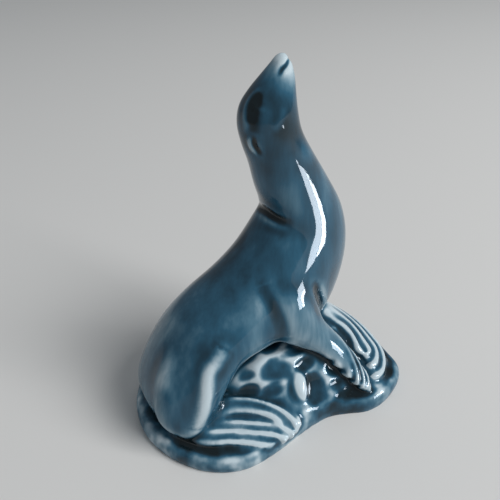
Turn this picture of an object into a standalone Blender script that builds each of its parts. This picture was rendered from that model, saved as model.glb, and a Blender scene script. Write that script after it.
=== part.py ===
"""A sea lion sitting up on a low rock, slip-cast in one piece and glazed all over.

+X runs along the rock towards the sea lion's chest, +Y to its left, +Z up.
The origin is the middle of the flat underside. Lengths are in millimetres here
and become metres when the mesh is made. The sea lion looks up and to its right,
so the near side below is the right side, at -Y.
"""

import math
import random

import bmesh
import bpy
import numpy as np
from mathutils import Vector

MM = 0.001

# The rock: overall length and width, height of its rim and of its top under the belly
BASE_LENGTH = 119.5
BASE_WIDTH = 78.5
RIM_HEIGHT = 7.0
RIM_ROUNDING = 5.0
ROCK_HEIGHT = 29.0
FOOT_BEVEL = 1.2
DIMPLE_PITCH = 13.0
DIMPLE_DEPTH = 1.4

# The sea lion: overall height, length from the rump to the chest, and its widths
FIGURE_HEIGHT = 147.0
BODY_LENGTH = 93.0
RUMP_LEDGE = 3.4
RUMP_WIDTH = 47.0
THIGH_WIDTH = 28.0
CHEST_WIDTH = 40.0
NECK_WIDTH = 26.0
HEAD_WIDTH = 21.6
HEAD_TURN = 25.0
EYE_LENGTH = 3.6
FACE_DEPTH = 0.9
CREASE_WIDTH = 1.6
CREASE_DEPTH = 1.5
MELT = 2.8

# The fore flippers, and the hind flippers folded one over the other
ARM_WIDTH = 22.0
ARM_THICKNESS = 15.0
FLIPPER_WIDTH = 12.0
FAN_WIDTH = 23.0
FLIPPER_THICKNESS = 5.2
HIND_WIDTH = 18.0
LOBE_WIDTH = 10.0
HIND_THICKNESS = 6.0
RIDGE_PITCH = 4.6
RIDGE_HEIGHT = 1.6

# The mesh: grain of the joined skin and number of triangles left at the end
GRAIN = 0.9
TRIANGLES = 11400


def along(share):
    """A place along the body, in hundredths of its length from the rump."""
    return -BASE_LENGTH / 2 + RUMP_LEDGE + BODY_LENGTH * share / 100


def above(share):
    """A height, in hundredths of the way from the top of the rock to the nose."""
    return ROCK_HEIGHT + (FIGURE_HEIGHT - ROCK_HEIGHT) * share / 100


def on_rock(length_share, width_share):
    """A place on the rock, in hundredths of its length and width from the middle."""
    return BASE_LENGTH * length_share / 100, BASE_WIDTH * width_share / 100


def slow(value, low, high):
    """Eases from 0 at low to 1 at high."""
    f = np.clip((value - low) / (high - low), 0, 1)
    return f * f * (3 - 2 * f)


def curve_at(rows, t):
    """Smooth curve through rows of numbers, at t from 0 to 1."""
    rows = np.asarray(rows, float)
    rows = np.vstack([2 * rows[0] - rows[1], rows, 2 * rows[-1] - rows[-2]])
    place = np.clip(np.asarray(t, float), 0, 1) * (len(rows) - 3)
    start = np.minimum(place.astype(int), len(rows) - 4)
    f = (place - start)[..., None]
    a, b, c, d = (rows[start + k] for k in range(4))
    return b + 0.5 * f * (c - a + f * (2 * a - 5 * b + 4 * c - d + f * (3 * (b - c) + d - a)))


def ball_grid(rings, around):
    """A sphere with each vertex's place from pole to pole and its angle about them."""
    bm = bmesh.new()
    bmesh.ops.create_uvsphere(bm, u_segments=around, v_segments=rings, radius=1)
    points = np.array([vertex.co for vertex in bm.verts])
    s = np.arccos(np.clip(points[:, 2], -1, 1)) / math.pi
    angle = np.arctan2(points[:, 1], points[:, 0])
    swell = np.where(np.abs(points[:, 2]) > 0.99999, 0.0, 1.0)
    return bm, s, angle, swell


def keep(bm, points, pieces):
    """Moves the grid's vertices to their points and keeps it with the other pieces."""
    for vertex, point in zip(bm.verts, points):
        vertex.co = Vector(point)
    bmesh.ops.recalc_face_normals(bm, faces=bm.faces)
    mesh = bpy.data.meshes.new("piece")
    bm.to_mesh(mesh)
    bm.free()
    pieces.append(mesh)


# Sections from the rump to the nose: how far along and how high the back is, how far
# along and how high the belly, chest or throat is, half the width, and the keel, which
# is how much narrower the front is than the back
BODY = [
    (2.4, -16.0, 10.5, -20.0, RUMP_WIDTH * 0.24, 0),
    (-0.3, -9.2, 16.8, -20.6, RUMP_WIDTH * 0.47, 0),
    (3.4, 1.2, 26.5, -15.5, RUMP_WIDTH * 0.515, 0),
    (10.4, 10.6, 34.0, -5.0, RUMP_WIDTH * 0.51, 0),
    (18.2, 18.7, 42.6, 0.8, RUMP_WIDTH * 0.47, 0.04),
    (27.9, 25.0, 53.8, 1.0, CHEST_WIDTH * 0.535, 0.10),
    (38.6, 30.8, 68.1, 0.6, CHEST_WIDTH * 0.51, 0.17),
    (48.7, 37.9, 81.2, 0.8, CHEST_WIDTH * 0.485, 0.23),
    (55.0, 44.9, 91.6, 6.0, CHEST_WIDTH * 0.45, 0.27),
    (57.0, 48.0, 99.1, 19.5, CHEST_WIDTH * 0.41, 0.27),
    (59.2, 51.3, 100.7, 33.9, CHEST_WIDTH * 0.37, 0.22),
    (55.7, 58.6, 96.4, 47.5, NECK_WIDTH * 0.54, 0.15),
    (52.8, 67.2, 87.6, 59.3, NECK_WIDTH * 0.49, 0.08),
    (49.7, 73.7, 79.0, 69.5, NECK_WIDTH * 0.454, 0),
    (47.7, 80.1, 73.5, 77.1, HEAD_WIDTH * 0.50, 0),
    (48.6, 85.6, 71.3, 83.5, HEAD_WIDTH * 0.463, 0),
    (52.5, 90.0, 70.4, 89.0, HEAD_WIDTH * 0.38, 0),
    (57.2, 93.9, 70.0, 93.2, HEAD_WIDTH * 0.287, 0),
    (60.9, 97.0, 69.0, 96.8, HEAD_WIDTH * 0.194, 0),
    (63.1, 99.2, 67.6, 99.2, HEAD_WIDTH * 0.11, 0),
    (65.1, 100.2, 66.0, 100.0, HEAD_WIDTH * 0.02, 0),
]


def skin(s, angle, swell=1.0):
    """A point on the body: s runs from rump to nose, and the angle from the chest side."""
    rows = curve_at(BODY, s)
    turn = np.cos(angle) * swell
    x = along((rows[..., 0] + rows[..., 2] + (rows[..., 2] - rows[..., 0]) * turn) / 2)
    z = above((rows[..., 1] + rows[..., 3] + (rows[..., 3] - rows[..., 1]) * turn) / 2)
    y = rows[..., 4] * np.sin(angle) * swell * (1 - rows[..., 5] * turn)
    return np.stack([x, y, z], -1)


def body(pieces):
    """Rump, back, chest, neck and head in one run of sections."""
    bm, s, angle, swell = ball_grid(100, 72)
    keep(bm, skin(s, angle, swell), pieces)


def limb(pieces, rows, ridges=None, under=1.0, rings=72, around=64):
    """A limb through rows of centre, half width, half thickness and the way its top faces.

    Ridges are a pitch, a slant, a height and the share of the length where they begin.
    """
    bm, s, angle, swell = ball_grid(rings, around)
    values = curve_at(rows, s)
    step = 0.01
    tangent = curve_at(rows, s + step)[:, :3] - curve_at(rows, s - step)[:, :3]
    tangent /= np.linalg.norm(tangent, axis=1)[:, None]
    across = np.cross(values[:, 5:8], tangent)
    across /= np.linalg.norm(across, axis=1)[:, None]
    top = np.cross(tangent, across)
    t = np.cos(angle)
    c = np.sin(angle)
    half = values[:, 3]
    width = half * t * swell
    height = values[:, 4] * np.where(c > 0, c, c * under) * swell
    if ridges:
        pitch, slant, lift, begin = ridges
        length = s * np.linalg.norm(np.diff(np.array(rows)[:, :3], axis=0), axis=1).sum()
        phase = ((1 - t) * half - slant * length) / pitch
        crest = (0.5 + 0.5 * np.cos(2 * math.pi * phase)) ** 1.3
        fade = np.clip((s - begin) / 0.2, 0, 1) * np.clip((1 - s) / 0.08, 0, 1)
        height += lift * (crest - 0.5) * fade * np.clip(c * 3, 0, 1)
        width -= lift * 1.3 * (crest - 0.4) * fade * np.clip(-t * 3 - 1.6, 0, 1)
    points = values[:, :3] + across * width[:, None] + top * height[:, None]
    keep(bm, points, pieces)


def bent(start, end, rows):
    """Limb rows between two places, from the share of the way and the bend off the straight.

    Both are in hundredths of the straight line's length.
    """
    start = np.array(start, float)
    end = np.array(end, float)
    length = np.linalg.norm(end - start)
    made = []
    for share, bend, *rest in rows:
        place = start + (end - start) * share / 100 + length * np.array(bend) / 100
        made.append((*place, *rest))
    return made


def thighs(pieces):
    """The folded thighs, one on each side of the rump, merged with it behind."""
    for side, forward, proud in ((-1, 0.0, 1.0), (1, 6.0, 0.6)):
        hip = (along(27.0 + forward), 0, above(13.8))
        knee = (along(6.6 + forward), side * RUMP_WIDTH * 0.28, above(-18.2))
        face = (-0.35, side, 0.3)
        wide = THIGH_WIDTH
        rows = [
            (0, (0, 0, 0), wide * 0.1, wide * 0.1, *face),
            (13, (-2.3, side * 7.0 * proud, 0), wide * 0.36, wide * 0.27, *face),
            (37, (-2.3, side * 9.5 * proud, 0), wide * 0.49, wide * 0.31, *face),
            (66, (-1.1, side * 8.5 * proud, 0), wide * 0.47, wide * 0.33, *face),
            (87, (-0.3, side * 4.0 * proud, 0), wide * 0.36, wide * 0.29, *face),
            (100, (0, 0, 0), wide * 0.07, wide * 0.07, *face),
        ]
        limb(pieces, bent(hip, knee, rows))


def near_arm(pieces):
    """The right arm and flipper, which lie down the near side of the rock."""
    shoulder = (along(57.6), -CHEST_WIDTH * 0.15, above(33.0))
    tip = (*on_rock(26, -45.7), RIM_HEIGHT * 1.2)
    arm = ARM_WIDTH
    deep = ARM_THICKNESS
    flipper = FLIPPER_WIDTH
    thin = FLIPPER_THICKNESS
    rows = [
        (0, (0, 0, 0), arm * 0.41, deep * 0.47, -0.3, -0.9, 0.3),
        (16, (-7.2, -3.6, -2.0), arm * 0.5, deep * 0.53, -0.3, -0.9, 0.3),
        (32, (-8.0, -0.8, -2.6), arm * 0.48, deep * 0.5, -0.3, -0.9, 0.4),
        (45.5, (-4.0, 4.5, -3.0), arm * 0.39, deep * 0.43, -0.3, -0.8, 0.6),
        (58.5, (0.1, 7.1, -2.6), flipper * 0.54, thin * 0.9, -0.1, -0.6, 0.8),
        (70.5, (2.7, 6.8, -2.0), flipper * 0.48, thin * 0.62, 0.1, -0.5, 0.85),
        (83, (2.4, 4.4, -0.9), flipper * 0.42, thin * 0.5, 0.2, -0.5, 0.85),
        (94, (1.5, 2.1, -0.3), flipper * 0.28, thin * 0.38, 0.2, -0.6, 0.8),
        (100, (0, 0, 0), flipper * 0.04, thin * 0.15, 0.2, -0.6, 0.8),
    ]
    limb(pieces, bent(shoulder, tip, rows), (RIDGE_PITCH * 0.8, 0.35, RIDGE_HEIGHT, 0.55), 1.8)


def far_arm(pieces):
    """The left arm, whose broad flipper drapes over the front of the rock."""
    shoulder = (along(74), CHEST_WIDTH * 0.225, above(17.8))
    tip = (*on_rock(28.3, -43.7), RIM_HEIGHT * 1.15)
    arm = ARM_WIDTH
    deep = ARM_THICKNESS
    fan = FAN_WIDTH
    thin = FLIPPER_THICKNESS
    rows = [
        (0, (0, 0, 0), arm * 0.34, deep * 0.38, 0.8, 0.3, 0.3),
        (13, (3.0, 7.4, -5.5), arm * 0.34, deep * 0.36, 0.8, 0.3, 0.3),
        (27.5, (9.8, 12.6, -8.0), arm * 0.36, deep * 0.32, 0.6, 0.2, 0.5),
        (42.5, (17.3, 13.0, -6.8), fan * 0.40, thin * 0.77, 0.5, 0, 0.8),
        (57.5, (21.0, 12.4, -4.2), fan * 0.49, thin * 0.58, 0.5, -0.1, 0.85),
        (72.5, (22.6, 11.7, -2.8), fan * 0.45, thin * 0.5, 0.5, -0.3, 0.8),
        (84.5, (22.2, 10.8, -1.6), fan * 0.39, thin * 0.46, 0.5, -0.3, 0.8),
        (93, (15.7, 7.1, -0.6), fan * 0.3, thin * 0.42, 0.5, -0.5, 0.7),
        (97.5, (7.2, 3.0, 0), fan * 0.17, thin * 0.38, 0.5, -0.5, 0.7),
        (100, (0, 0, 0), fan * 0.02, thin * 0.15, 0.5, -0.5, 0.7),
    ]
    limb(pieces, bent(shoulder, tip, rows), (RIDGE_PITCH * 1.25, 0.08, RIDGE_HEIGHT, 0.3), 2.8)


def hind_flippers(pieces):
    """The hind flippers, one lobe over the other, flat along the rim."""
    rump = (*on_rock(-40.8, -13.9), RIM_HEIGHT * 1.7)
    end = (*on_rock(-4, -44.7), RIM_HEIGHT * 0.86)
    wide = HIND_WIDTH
    thin = HIND_THICKNESS
    face = (0, -0.3, 1)
    rows = [
        (0, (0, 0, 0), wide * 0.33, thin * 0.8, *face),
        (24, (-3.0, -4.7, -0.2), wide * 0.44, thin * 0.66, *face),
        (44.5, (-3.2, -5.1, 0.4), wide * 0.5, thin * 0.53, *face),
        (62.5, (-3.0, -4.3, 1.2), wide * 0.47, thin * 0.5, *face),
        (79.5, (-2.2, -2.4, 1.6), wide * 0.4, thin * 0.46, *face),
        (92, (-1.0, -1.2, 1.0), wide * 0.25, thin * 0.36, *face),
        (100, (0, 0, 0), wide * 0.03, thin * 0.17, *face),
    ]
    limb(pieces, bent(rump, end, rows), (RIDGE_PITCH * 0.85, 0, RIDGE_HEIGHT * 0.75, 0.1), 1.5)
    wide = LOBE_WIDTH
    face = (0, -0.35, 1)
    rows = [
        (0, (0, 0, 0), wide * 0.4, thin * 0.66, *face),
        (17, (1.9, 2.1, 2.3), wide * 0.46, thin * 0.57, *face),
        (32, (5.1, 6.8, 4.0), wide * 0.5, thin * 0.5, *face),
        (52.5, (6.6, 8.4, 5.4), wide * 0.5, thin * 0.46, *face),
        (73.5, (4.9, 5.8, 4.9), wide * 0.48, thin * 0.43, *face),
        (91, (1.9, 2.1, 2.8), wide * 0.3, thin * 0.36, *face),
        (100, (0, 0, 0), wide * 0.05, thin * 0.17, *face),
    ]
    rump = (*on_rock(-34.1, -17.7), RIM_HEIGHT * 2.3)
    end = (*on_rock(-3.6, -45.7), RIM_HEIGHT)
    limb(pieces, bent(rump, end, rows), (RIDGE_PITCH * 0.9, 0, RIDGE_HEIGHT * 0.8, 0.1), 1.8)


# The rock's outline seen from above, in hundredths of its length and width
OUTLINE = [
    (49.5, 4), (49.6, -10), (48.6, -22), (47.4, -33), (43.5, -40.3), (37, -45.8), (30.5, -48.9),
    (24, -49), (17.5, -45.2), (11.5, -42.3), (5, -42.4), (-3, -44.4), (-12, -47.4), (-22, -49.3),
    (-30, -47.8), (-38, -40.9), (-44, -30.2), (-48, -18), (-50, -5), (-49.5, 8), (-46.5, 22),
    (-39, 38), (-28, 46.5), (-14, 50), (3, 50), (19, 49), (35, 44), (45, 29),
]


def rock_top(x, y):
    """Height of the rock: a crown that slopes to a low shelf, a saddle in the belly and a
    rest under the tips of the fore flippers.
    """
    u = x / BASE_LENGTH * 100
    v = y / BASE_WIDTH * 100
    ahead = np.where(u > 9.5, (u - 9.5) / 38.5, (9.5 - u) / 50)
    broad = 17 + 8 * slow(v, 0, 10)
    crown = (broad + 3 * slow(-u, -7.5, 6)) * np.clip(1 - ahead ** 2, 0, 1)
    foot = np.where(v < 0, 43.5 - 12 * slow(-u, 1, 19), 43.5)
    aside = np.clip((np.abs(v + 1.3) - crown) / (foot - broad), 0, 2)
    fall = np.sqrt(aside ** 2 + np.clip((ahead - 0.35) / 0.65, 0, 2) ** 2)
    mound = (1 - slow(fall, -0.25, 1.1)) * 1.16
    saddle = (1 - slow(np.abs(v), 9, 15)) * (1 - slow(np.abs(u + 3), 16, 26)) * 1.23
    rest = 0.16 * np.exp(-(((u - 28.5) / 5) ** 2) - ((v + 38) / 7) ** 2)
    return RIM_HEIGHT + (ROCK_HEIGHT - RIM_HEIGHT) * (np.maximum(mound, saddle) + rest)


def rock(pieces):
    """The rock: a low mound with an upright, rounded rim and a bevelled foot."""
    bm, s, angle, swell = ball_grid(100, 160)
    turn = (angle / (2 * math.pi)) % 1
    x, y = on_rock(*curve_at(OUTLINE + OUTLINE[:1], 1 - turn).T)
    radius = np.hypot(x, y)
    inset = RIM_ROUNDING * np.interp(s, [0.43, 0.46, 0.485, 0.5], [1, 0.38, 0.12, 0])
    inset += FOOT_BEVEL * np.interp(s, [0.5, 0.53, 0.56], [0, 1, 2])
    inset = np.where(s < 0.43, radius + (RIM_ROUNDING - radius) * s / 0.43, inset)
    inset = np.where(s > 0.56, radius * np.interp(s, [0.56, 1], [0.06, 1]), inset)
    x = x * (1 - inset / radius)
    y = y * (1 - inset / radius)
    edge = np.interp(s, [0.43, 0.46, 0.485, 0.5], [1, 0.93, 0.72, 0.42])
    under = RIM_HEIGHT * np.interp(s, [0.53, 0.56], [0, -0.4])
    z = np.where(s < 0.5, rock_top(x, y) * edge, under)
    z = np.where(np.abs(s - 0.5) < 0.001, RIM_HEIGHT * 0.42, z)
    keep(bm, np.stack([x, y, z], 1), pieces)


def joined(pieces, grain):
    """An object with all the pieces and a modifier that wraps them in one closed skin."""
    bm = bmesh.new()
    for mesh in pieces:
        bm.from_mesh(mesh)
        bpy.data.meshes.remove(mesh)
    mesh = bpy.data.meshes.new("pieces")
    bm.to_mesh(mesh)
    bm.free()
    holder = bpy.data.objects.new("holder", mesh)
    bpy.context.scene.collection.objects.link(holder)
    remesh = holder.modifiers.new("skin", "REMESH")
    remesh.mode = "VOXEL"
    remesh.voxel_size = grain
    return holder


def baked(holder):
    """The mesh that the holder's modifiers make; the holder goes."""
    bpy.context.view_layer.update()
    graph = bpy.context.evaluated_depsgraph_get()
    result = bpy.data.meshes.new_from_object(holder.evaluated_get(graph))
    bpy.data.objects.remove(holder)
    return result


def read(items, name, size, kind=float):
    """Numbers of a mesh's vertices or edges, one row for each."""
    values = np.empty(len(items) * size, dtype=kind)
    items.foreach_get(name, values)
    return values.reshape(-1, size)


def smoothed(points, edges, rounds, strength=0.5):
    """Points moved towards the middle of their neighbours, round after round."""
    count = np.bincount(edges.ravel(), minlength=len(points))[:, None]
    for _ in range(rounds):
        total = np.empty_like(points)
        for axis in range(3):
            column = points[:, axis]
            forth = np.bincount(edges[:, 0], column[edges[:, 1]], len(points))
            back = np.bincount(edges[:, 1], column[edges[:, 0]], len(points))
            total[:, axis] = forth + back
        points = points + strength * (total / count - points)
    return points


def carve(points, normals, path, width, depth):
    """Sinks a soft groove under a path; a negative depth raises a ridge."""
    shares = np.linspace(0, 1, 36)
    under = [points[((points - place) ** 2).sum(1).argmin()] for place in path]
    line = curve_at(under, shares)
    reach = 3 * width
    near = np.all((points > line.min(0) - reach) & (points < line.max(0) + reach), axis=1)
    spots = points[near]
    gaps = np.stack([np.linalg.norm(spots - spot, axis=1) for spot in line], 1)
    closest = gaps.argmin(1)
    fade = np.sqrt(np.sin(math.pi * (0.02 + 0.96 * shares[closest])))
    sink = depth * fade * np.exp(-((gaps.min(1) / width) ** 2))
    points[near] -= normals[near] * sink[:, None]


def on_skin(*places):
    """Points on the body from pairs of place along it and angle in degrees."""
    return [skin(np.array(s), math.radians(degrees)) for s, degrees in places]


def face(points, normals):
    """Brow, eye, ear, cheek and mouth on both sides of the turned head."""
    wide = HEAD_WIDTH
    eye = EYE_LENGTH
    deep = FACE_DEPTH
    for mirrored in (False, True):

        def side(*places):
            if mirrored:
                places = [(s, -2 * HEAD_TURN - degrees) for s, degrees in places]
            return on_skin(*places)

        def cut(width, depth, *places):
            carve(points, normals, side(*places), width, depth)

        cut(wide * 0.12, deep * 0.6, (0.7, 212), (0.735, 217), (0.765, 218))
        cut(eye * 0.55, deep * 1.1, (0.745, 206), (0.77, 205), (0.79, 203))
        cut(eye * 0.36, deep * -1.1, (0.757, 207), (0.77, 206), (0.78, 205))
        cut(wide * 0.06, deep * -0.8, (0.7, 198), (0.748, 193), (0.778, 191), (0.81, 195))
        cut(wide * 0.08, deep * -0.3, (0.712, 246), (0.735, 262), (0.775, 268))
        cut(wide * 0.042, deep, (0.684, 212), (0.668, 209), (0.652, 213))
        cut(wide * 0.042, -deep, (0.686, 202), (0.666, 200), (0.648, 205))
        lips = ((0.935, 335), (0.925, 300), (0.91, 262), (0.89, 243), (0.868, 238))
        cut(wide * 0.037, deep, *lips)


# The ridge down the front of a folded thigh: along the body, share of the rump's width
# and height
SHIN = [
    (27.9, 0.42, 15.4), (23.8, 0.43, 12.2), (20.2, 0.445, 8.6), (17.0, 0.485, 2.5),
    (14.5, 0.52, -4.2), (12.2, 0.53, -10.5),
]


def creases(points, normals):
    """Folds of the nape, edges of the arms and ridges of the thighs."""
    wide = CREASE_WIDTH
    deep = CREASE_DEPTH
    nape = on_skin((0.49, 150), (0.491, 168), (0.493, 184), (0.496, 200), (0.499, 214))
    carve(points, normals, nape, wide, deep * 0.9)
    roll = on_skin((0.468, 172), (0.47, 188), (0.474, 204))
    carve(points, normals, roll, wide * 1.6, deep * -0.2)
    second = on_skin((0.44, 186), (0.447, 204), (0.456, 220))
    carve(points, normals, second, wide * 1.5, deep * 0.15)
    rear = on_skin((0.332, 218), (0.324, 231), (0.319, 244), (0.311, 260), (0.303, 284))
    carve(points, normals, rear, wide * 1.8, deep * 0.55)
    for side, forward in ((-1, 0), (1, 6)):
        shin = [
            (along(share + forward), side * RUMP_WIDTH * out, above(height))
            for share, out, height in SHIN
        ]
        carve(points, normals, shin, wide * 2.0, deep * -1.3)
    front = on_skin((0.402, 266), (0.394, 282), (0.388, 300), (0.38, 318))
    carve(points, normals, front, wide * 1.2, deep)


# Hollows seen in the near side of the rock: place in hundredths of its length and width,
# then half length, half width up the slope and depth as shares of the usual
HOLLOWS = [
    (-5.7, -24.5, 1.35, 1.05, 1.0), (2.7, -20, 1.15, 0.6, 0.8), (5.3, -26.1, 0.95, 0.55, 0.6),
    (6.8, -35.8, 1.1, 1.5, 1.3), (17, -41.5, 1.1, 0.66, 0.6), (-15.3, -22.8, 0.95, 0.6, 0.7),
    (-8.7, -28.6, 1.15, 0.55, 0.5), (-15.3, -18.6, 0.9, 0.55, 0.5), (16.5, -30.7, 0.9, 0.65, 0.45),
    (14.6, -36.3, 0.75, 0.55, 0.45), (39.4, -37.2, 0.7, 0.65, 0.6), (35.4, -46.4, 0.7, 0.6, 0.6),
]
KNOLL = (1.1, -32.4, 0.7, 1.05, -1.3)


def bowl(points, normals, bare, place, half_length, half_width, depth):
    """Sinks a rounded hollow with a faint lip; a negative depth raises a knoll."""
    x, y, z = (points - place).T
    apart = np.sqrt((x / half_length) ** 2 + (y * y + z * z) / half_width ** 2)
    near = apart < 1.8
    apart = apart[near]
    sink = (1 - np.clip(apart, 0, 1) ** 3) ** 2
    lip = 0.1 * np.exp(-(((apart - 1.15) / 0.3) ** 2))
    points[near] -= normals[near] * ((sink - lip) * depth * bare[near])[:, None]


def dimples(points, normals):
    """Rounded hollows all over the rock, with soft ridges between them."""
    rng = random.Random(7)
    hollows = [(*on_rock(*hollow[:2]), *hollow[2:]) for hollow in HOLLOWS]
    seen = [hollow[:2] for hollow in hollows]
    columns = int(BASE_LENGTH / DIMPLE_PITCH) + 1
    lines = int(BASE_WIDTH / DIMPLE_PITCH) + 1
    for column in range(-columns, columns + 1):
        for line in range(-lines, lines + 1):
            x = (column + 0.5 * (line % 2) + rng.uniform(-0.2, 0.2)) * DIMPLE_PITCH
            y = (line + rng.uniform(-0.2, 0.2)) * DIMPLE_PITCH * 0.87
            size = (rng.uniform(0.9, 1.3), rng.uniform(0.75, 1.05), rng.uniform(0.4, 0.7))
            if min(math.hypot(x - a, y - b) for a, b in seen) > DIMPLE_PITCH * 0.62:
                hollows.append((x, y, *size))
    below = rock_top(points[:, 0], points[:, 1]) - points[:, 2]
    bare = 0.3 + 0.7 * slow(points[:, 2], RIM_HEIGHT, RIM_HEIGHT * 2)
    bare *= np.exp(-((below / DIMPLE_DEPTH) ** 2))
    half = DIMPLE_PITCH / 2
    for x, y, half_length, half_width, depth in hollows:
        place = (x, y, float(rock_top(x, y)))
        bowl(points, normals, bare, place, half_length * half, half_width * half, depth * DIMPLE_DEPTH)
    knoll = (*on_rock(*KNOLL[:2]), float(rock_top(*on_rock(*KNOLL[:2]))))
    bowl(points, normals, bare, knoll, KNOLL[2] * half, KNOLL[3] * half, KNOLL[4] * DIMPLE_DEPTH)


def melted(points, edges, grain):
    """Melts limbs and body into one another, away from rock, fore flippers and head."""
    rise = points[:, 2] - rock_top(points[:, 0], points[:, 1])
    share = slow(rise, RIM_HEIGHT * 0.8, RIM_HEIGHT * 1.8)
    share *= 1 - slow(points[:, 2], above(55), above(72))
    low = 1 - slow(points[:, 2], above(1), above(8))
    share *= 1 - low * slow(points[:, 0], along(84), along(92))
    rounds = int((2 * MELT / grain) ** 2)
    return smoothed(points, edges, rounds, 0.5 * share[:, None])


def sculpted(mesh):
    """Rounds the joined skin, carves it and centres its footprint on the origin."""
    edges = read(mesh.edges, "vertices", 2, np.int64)
    points = smoothed(read(mesh.vertices, "co", 3), edges, 3)
    points = melted(points, edges, GRAIN)
    mesh.vertices.foreach_set("co", points.ravel())
    mesh.update()
    normals = read(mesh.vertex_normals, "vector", 3)
    dimples(points, normals)
    creases(points, normals)
    face(points, normals)
    points = smoothed(points, edges, 1)
    points[:, :2] -= (points[:, :2].min(0) + points[:, :2].max(0)) / 2
    mesh.vertices.foreach_set("co", points.ravel())
    mesh.update()


def trimmed(mesh):
    """Leaves the wanted number of triangles and cuts the underside flat at zero height."""
    holder = bpy.data.objects.new("holder", mesh)
    bpy.context.scene.collection.objects.link(holder)
    thin = holder.modifiers.new("thin", "DECIMATE")
    thin.ratio = TRIANGLES / (2 * len(mesh.polygons))
    thin.use_collapse_triangulate = True
    bm = bmesh.new()
    bm.from_mesh(baked(holder))
    everything = bm.verts[:] + bm.edges[:] + bm.faces[:]
    bmesh.ops.bisect_plane(
        bm, geom=everything, plane_co=(0, 0, 0), plane_no=(0, 0, 1), clear_inner=True, dist=0.02
    )
    rim = [edge for edge in bm.edges if edge.is_boundary]
    bmesh.ops.holes_fill(bm, edges=rim, sides=0)
    bmesh.ops.triangulate(bm, faces=bm.faces)
    bmesh.ops.scale(bm, vec=(MM, MM, MM), verts=bm.verts)
    bmesh.ops.recalc_face_normals(bm, faces=bm.faces)
    result = bpy.data.meshes.new("seal_figurine")
    bm.to_mesh(result)
    bm.free()
    return result


def glaze():
    """Glossy blue glaze."""
    material = bpy.data.materials.new("glaze")
    material.use_nodes = True
    shader = material.node_tree.nodes["Principled BSDF"]
    shader.inputs["Base Color"].default_value = (0.06, 0.16, 0.22, 1)
    shader.inputs["Roughness"].default_value = 0.08
    return material


def main():
    for leftover in list(bpy.data.objects):
        bpy.data.objects.remove(leftover)
    pieces = []
    body(pieces)
    thighs(pieces)
    near_arm(pieces)
    far_arm(pieces)
    hind_flippers(pieces)
    rock(pieces)
    mesh = baked(joined(pieces, GRAIN))
    sculpted(mesh)
    mesh = trimmed(mesh)
    mesh.materials.append(glaze())
    figurine = bpy.data.objects.new("seal_figurine", mesh)
    collection = bpy.data.collections.new("seal_figurine")
    bpy.context.scene.collection.children.link(collection)
    collection.objects.link(figurine)
    mesh.shade_smooth()


main()
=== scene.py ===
"""A sea lion sitting up on a low rock: one glazed slip casting, on a pale floor.

+X runs along the rock towards the sea lion's chest, +Y to its left, +Z up.
The origin is the middle of the flat underside. Lengths are in millimetres here
and become metres when the mesh is made. The sea lion looks up and to its right,
so the near side below is the right side, at -Y.
"""

import math
import random

import bmesh
import bpy
import numpy as np
from mathutils import Matrix, Vector


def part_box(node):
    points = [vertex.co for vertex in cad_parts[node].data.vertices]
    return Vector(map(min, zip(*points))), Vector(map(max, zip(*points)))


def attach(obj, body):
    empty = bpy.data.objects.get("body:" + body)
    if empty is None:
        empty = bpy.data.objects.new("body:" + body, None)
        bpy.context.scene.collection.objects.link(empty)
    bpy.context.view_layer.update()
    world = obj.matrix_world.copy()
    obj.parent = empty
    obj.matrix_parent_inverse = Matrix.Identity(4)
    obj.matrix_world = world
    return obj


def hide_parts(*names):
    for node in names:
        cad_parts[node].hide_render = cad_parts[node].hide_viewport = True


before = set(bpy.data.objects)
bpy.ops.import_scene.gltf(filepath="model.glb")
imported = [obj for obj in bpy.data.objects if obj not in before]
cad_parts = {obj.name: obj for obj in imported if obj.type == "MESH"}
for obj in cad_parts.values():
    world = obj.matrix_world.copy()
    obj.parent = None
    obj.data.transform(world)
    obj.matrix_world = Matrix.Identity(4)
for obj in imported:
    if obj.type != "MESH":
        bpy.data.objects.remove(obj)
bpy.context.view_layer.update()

MM = 0.001

# The rock: overall length and width, height of its rim and of its top under the belly
BASE_LENGTH = 119.5
BASE_WIDTH = 78.5
RIM_HEIGHT = 7.0
RIM_ROUNDING = 5.0
ROCK_HEIGHT = 29.0
FOOT_BEVEL = 1.2
DIMPLE_PITCH = 13.0
DIMPLE_DEPTH = 1.4

# The sea lion: overall height, length from the rump to the chest, and its widths
FIGURE_HEIGHT = 147.0
BODY_LENGTH = 93.0
RUMP_LEDGE = 3.4
RUMP_WIDTH = 47.0
THIGH_WIDTH = 28.0
CHEST_WIDTH = 40.0
NECK_WIDTH = 26.0
HEAD_WIDTH = 21.6
HEAD_TURN = 25.0
EYE_LENGTH = 3.6
FACE_DEPTH = 0.9
CREASE_WIDTH = 1.6
CREASE_DEPTH = 1.5
MELT = 2.8

# The fore flippers, and the hind flippers folded one over the other
ARM_WIDTH = 22.0
ARM_THICKNESS = 15.0
FLIPPER_WIDTH = 12.0
FAN_WIDTH = 23.0
FLIPPER_THICKNESS = 5.2
HIND_WIDTH = 18.0
LOBE_WIDTH = 10.0
HIND_THICKNESS = 6.0
RIDGE_PITCH = 4.6
RIDGE_HEIGHT = 1.6


def along(share):
    """A place along the body, in hundredths of its length from the rump."""
    return -BASE_LENGTH / 2 + RUMP_LEDGE + BODY_LENGTH * share / 100


def above(share):
    """A height, in hundredths of the way from the top of the rock to the nose."""
    return ROCK_HEIGHT + (FIGURE_HEIGHT - ROCK_HEIGHT) * share / 100


def on_rock(length_share, width_share):
    """A place on the rock, in hundredths of its length and width from the middle."""
    return BASE_LENGTH * length_share / 100, BASE_WIDTH * width_share / 100


def slow(value, low, high):
    """Eases from 0 at low to 1 at high."""
    f = np.clip((value - low) / (high - low), 0, 1)
    return f * f * (3 - 2 * f)


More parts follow.
